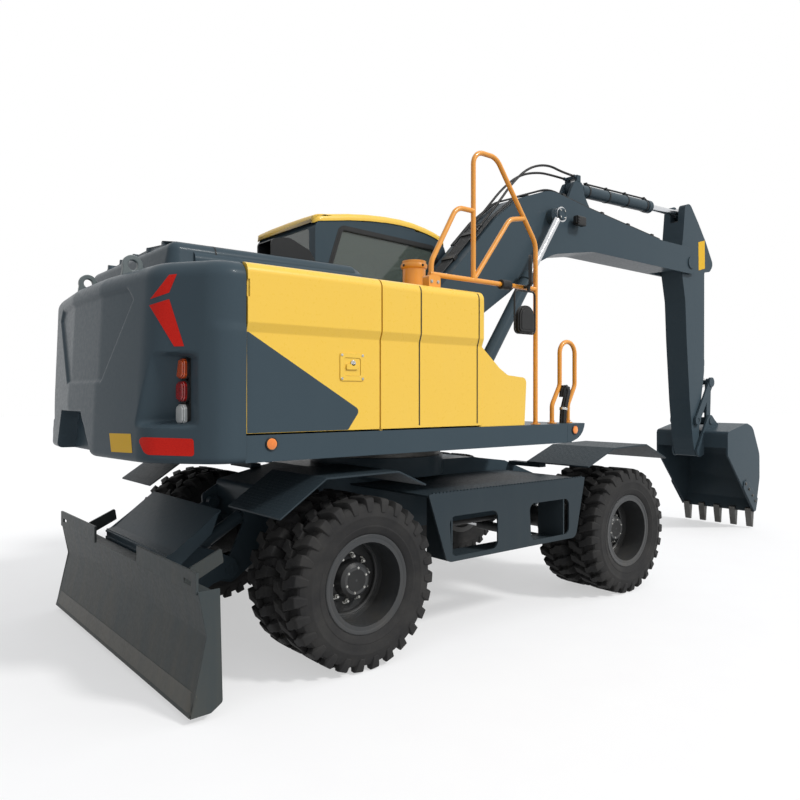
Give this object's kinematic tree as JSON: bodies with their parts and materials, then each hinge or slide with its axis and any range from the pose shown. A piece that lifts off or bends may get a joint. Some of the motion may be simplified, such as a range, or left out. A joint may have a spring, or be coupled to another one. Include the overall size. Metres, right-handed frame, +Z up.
{
  "type": "wheeled excavator",
  "caption": "Wheeled excavator on twin tyres with a dozer blade behind, a slewing upper body with cab, and a boom, arm and bucket in front.",
  "frame": {"origin": "ground under the middle of the overall length and width", "axes": "+X forward, towards the bucket, +Y left, +Z up"},
  "size_m": [7.7617, 2.5, 3.8504],
  "materials": {
    "yellow_paint": "gloss",
    "dark_paint": "satin",
    "black_paint": "satin",
    "rim_paint": "satin",
    "axle_iron": "matt",
    "engine_iron": "matt",
    "rod_chrome": "polished",
    "worn_steel": "worn",
    "tyre_rubber": "matt",
    "black_plastic": "matt",
    "window_glass": "clear tint",
    "seat_fabric": "woven"
  },
  "bodies": {
    "chassis": {"chassis_frame": "dark_paint", "slew_ring": "worn_steel", "rear_axle": "axle_iron", "front_axle": "axle_iron", "drive_shafts": "axle_iron", "mudguards_rear": "dark_paint", "mudguards_front": "dark_paint", "side_steps": "dark_paint"},
    "dozer": {"blade": "dark_paint", "blade_frame": "dark_paint"},
    "dozer_barrels": {"blade_cylinder_barrels": "dark_paint"},
    "dozer_rods": {"blade_cylinder_rods": "rod_chrome"},
    "steer_left": {"knuckle_left": "axle_iron"},
    "steer_right": {"knuckle_right": "axle_iron"},
    "steer_rod": {"steering_rod": "rod_chrome"},
    "wheel_front_left": {"tyres_front_left": "tyre_rubber", "rims_front_left": "rim_paint"},
    "wheel_front_right": {"tyres_front_right": "tyre_rubber", "rims_front_right": "rim_paint"},
    "wheel_rear_left": {"tyres_rear_left": "tyre_rubber", "rims_rear_left": "rim_paint"},
    "wheel_rear_right": {"tyres_rear_right": "tyre_rubber", "rims_rear_right": "rim_paint"},
    "upper": {"upper_frame": "dark_paint", "counterweight": "dark_paint", "engine_hood": "dark_paint", "right_panels": "yellow_paint", "left_panels": "yellow_paint", "engine_block": "engine_iron", "cab_shell": "dark_paint", "cab_roof": "yellow_paint", "cab_glass": "window_glass", "seat_and_console": "seat_fabric", "handrails": "yellow_paint", "mirrors": "black_plastic", "exhaust_cover": "black_paint", "filter_housing": "yellow_paint"},
    "right_door": {"right_engine_door": "yellow_paint"},
    "left_door": {"left_engine_door": "yellow_paint"},
    "cab_door_leaf": {"cab_door": "dark_paint", "cab_door_glass": "window_glass"},
    "boom_body": {"boom": "dark_paint", "boom_pipes": "black_paint"},
    "boom_barrels": {"boom_cylinder_barrels": "dark_paint"},
    "boom_rods": {"boom_cylinder_rods": "rod_chrome"},
    "arm_barrel": {"arm_cylinder_barrel": "dark_paint"},
    "arm_rod": {"arm_cylinder_rod": "rod_chrome"},
    "arm_body": {"arm": "dark_paint"},
    "bucket_barrel": {"bucket_cylinder_barrel": "dark_paint"},
    "bucket_rod": {"bucket_cylinder_rod": "rod_chrome"},
    "levers": {"tipping_levers": "dark_paint"},
    "link": {"push_link": "dark_paint"},
    "bucket_body": {"bucket": "dark_paint", "bucket_teeth": "worn_steel"}
  },
  "joints": [
    {"name": "slew", "type": "hinge", "parent": "chassis", "child": "upper", "pos_m": [-1.631, 0, 1.214], "axis": [0, 0, 1], "continuous": true},
    {"name": "steering", "type": "hinge", "parent": "chassis", "child": "steer_left", "pos_m": [0.019, 0.75, 0.508], "axis": [0, 0, 1], "range_deg": [-30, 30]},
    {"name": "steering_right", "type": "hinge", "parent": "chassis", "child": "steer_right", "pos_m": [0.019, -0.75, 0.508], "axis": [0, 0, 1], "range_deg": [-30, 30]},
    {"name": "steering_rod", "type": "slide", "parent": "chassis", "child": "steer_rod", "axis": [0, 1, 0], "range_m": [-0.112, 0.112]},
    {"name": "wheel_front_left", "type": "hinge", "parent": "steer_left", "child": "wheel_front_left", "pos_m": [0.019, 1.118, 0.508], "axis": [0, 1, 0], "continuous": true},
    {"name": "wheel_front_right", "type": "hinge", "parent": "steer_right", "child": "wheel_front_right", "pos_m": [0.019, -1.118, 0.508], "axis": [0, 1, 0], "continuous": true},
    {"name": "wheel_rear_left", "type": "hinge", "parent": "chassis", "child": "wheel_rear_left", "pos_m": [-2.631, 1.118, 0.508], "axis": [0, 1, 0], "continuous": true},
    {"name": "wheel_rear_right", "type": "hinge", "parent": "chassis", "child": "wheel_rear_right", "pos_m": [-2.631, -1.118, 0.508], "axis": [0, 1, 0], "continuous": true},
    {"name": "blade_lift", "type": "hinge", "parent": "chassis", "child": "dozer", "pos_m": [-3.081, 0, 0.5], "axis": [0, 1, 0], "range_deg": [-14, 34]},
    {"name": "blade_barrels", "type": "hinge", "parent": "chassis", "child": "dozer_barrels", "pos_m": [-2.911, 0, 0.85], "axis": [0, 1, 0], "range_deg": [-6.7, 16]},
    {"name": "blade_rods", "type": "slide", "parent": "dozer_barrels", "child": "dozer_rods", "axis": [-0.8662, 0, -0.4997], "range_m": [-0.146, 0.061]},
    {"name": "boom", "type": "hinge", "parent": "upper", "child": "boom_body", "pos_m": [-1.521, -0.1, 1.95], "axis": [0, -1, 0], "range_deg": [-60, 33]},
    {"name": "boom_barrels", "type": "hinge", "parent": "upper", "child": "boom_barrels", "pos_m": [-1.031, -0.1, 1.5], "axis": [0, -1, 0], "range_deg": [-63, 35]},
    {"name": "boom_rods", "type": "slide", "parent": "boom_barrels", "child": "boom_rods", "axis": [0.5736, 0, 0.8191], "range_m": [-0.612, 0.338]},
    {"name": "arm", "type": "hinge", "parent": "boom_body", "child": "arm_body", "pos_m": [2.759, -0.1, 3.16], "axis": [0, 1, 0], "range_deg": [-60, 57]},
    {"name": "arm_barrel", "type": "hinge", "parent": "boom_body", "child": "arm_barrel", "pos_m": [0.769, -0.1, 3.685], "axis": [0, 1, 0], "range_deg": [-1.3, 1.3]},
    {"name": "arm_rod", "type": "slide", "parent": "arm_barrel", "child": "arm_rod", "axis": [0.9993, 0, 0.0367], "range_m": [-0.505, 0.48]},
    {"name": "bucket", "type": "hinge", "parent": "arm_body", "child": "bucket_body", "pos_m": [2.984, -0.1, 0.968], "axis": [0, -1, 0], "range_deg": [-150, 8]},
    {"name": "levers", "type": "hinge", "parent": "arm_body", "child": "levers", "pos_m": [2.944, -0.1, 1.325], "axis": [0, -1, 0], "range_deg": [-113, 6.5]},
    {"name": "link", "type": "hinge", "parent": "levers", "child": "link", "pos_m": [3.264, -0.1, 1.778], "axis": [0, -1, 0], "range_deg": [-4.6, 80.5]},
    {"name": "bucket_barrel", "type": "hinge", "parent": "arm_body", "child": "bucket_barrel", "pos_m": [3.269, -0.1, 3.212], "axis": [0, -1, 0], "range_deg": [-0.3, 3.2]},
    {"name": "bucket_rod", "type": "slide", "parent": "bucket_barrel", "child": "bucket_rod", "axis": [-0.0035, 0, -1], "range_m": [-0.052, 0.945]},
    {"name": "right_door", "type": "hinge", "parent": "upper", "child": "right_door", "pos_m": [-3.405, -1.238, 1.86], "axis": [0, 0, -1], "range_deg": [0, 90]},
    {"name": "left_door", "type": "hinge", "parent": "upper", "child": "left_door", "pos_m": [-3.405, 1.238, 1.86], "axis": [0, 0, 1], "range_deg": [0, 90]},
    {"name": "cab_door", "type": "hinge", "parent": "upper", "child": "cab_door_leaf", "pos_m": [-1.865, 1.21, 2.2], "axis": [0, 0, 1], "range_deg": [0, 165]}
  ],
  "couplings": [
    {"joint": "steering_right", "follows": "steering", "ratio": 1},
    {"joint": "steering_rod", "follows": "steering", "m_per_rad": -0.2101},
    {"joint": "blade_barrels", "follows": "blade_lift", "ratio": 0.46},
    {"joint": "blade_rods", "follows": "blade_lift", "m_per_rad": -0.2417},
    {"joint": "boom_barrels", "follows": "boom", "ratio": 1.03},
    {"joint": "boom_rods", "follows": "boom", "m_per_rad": 0.5821},
    {"joint": "arm_barrel", "follows": "arm", "ratio": 0.02},
    {"joint": "arm_rod", "follows": "arm", "m_per_rad": 0.4795},
    {"joint": "levers", "follows": "bucket", "ratio": 0.75},
    {"joint": "link", "follows": "bucket", "ratio": -0.53},
    {"joint": "bucket_barrel", "follows": "bucket", "ratio": -0.02},
    {"joint": "bucket_rod", "follows": "bucket", "m_per_rad": -0.36}
  ]
}
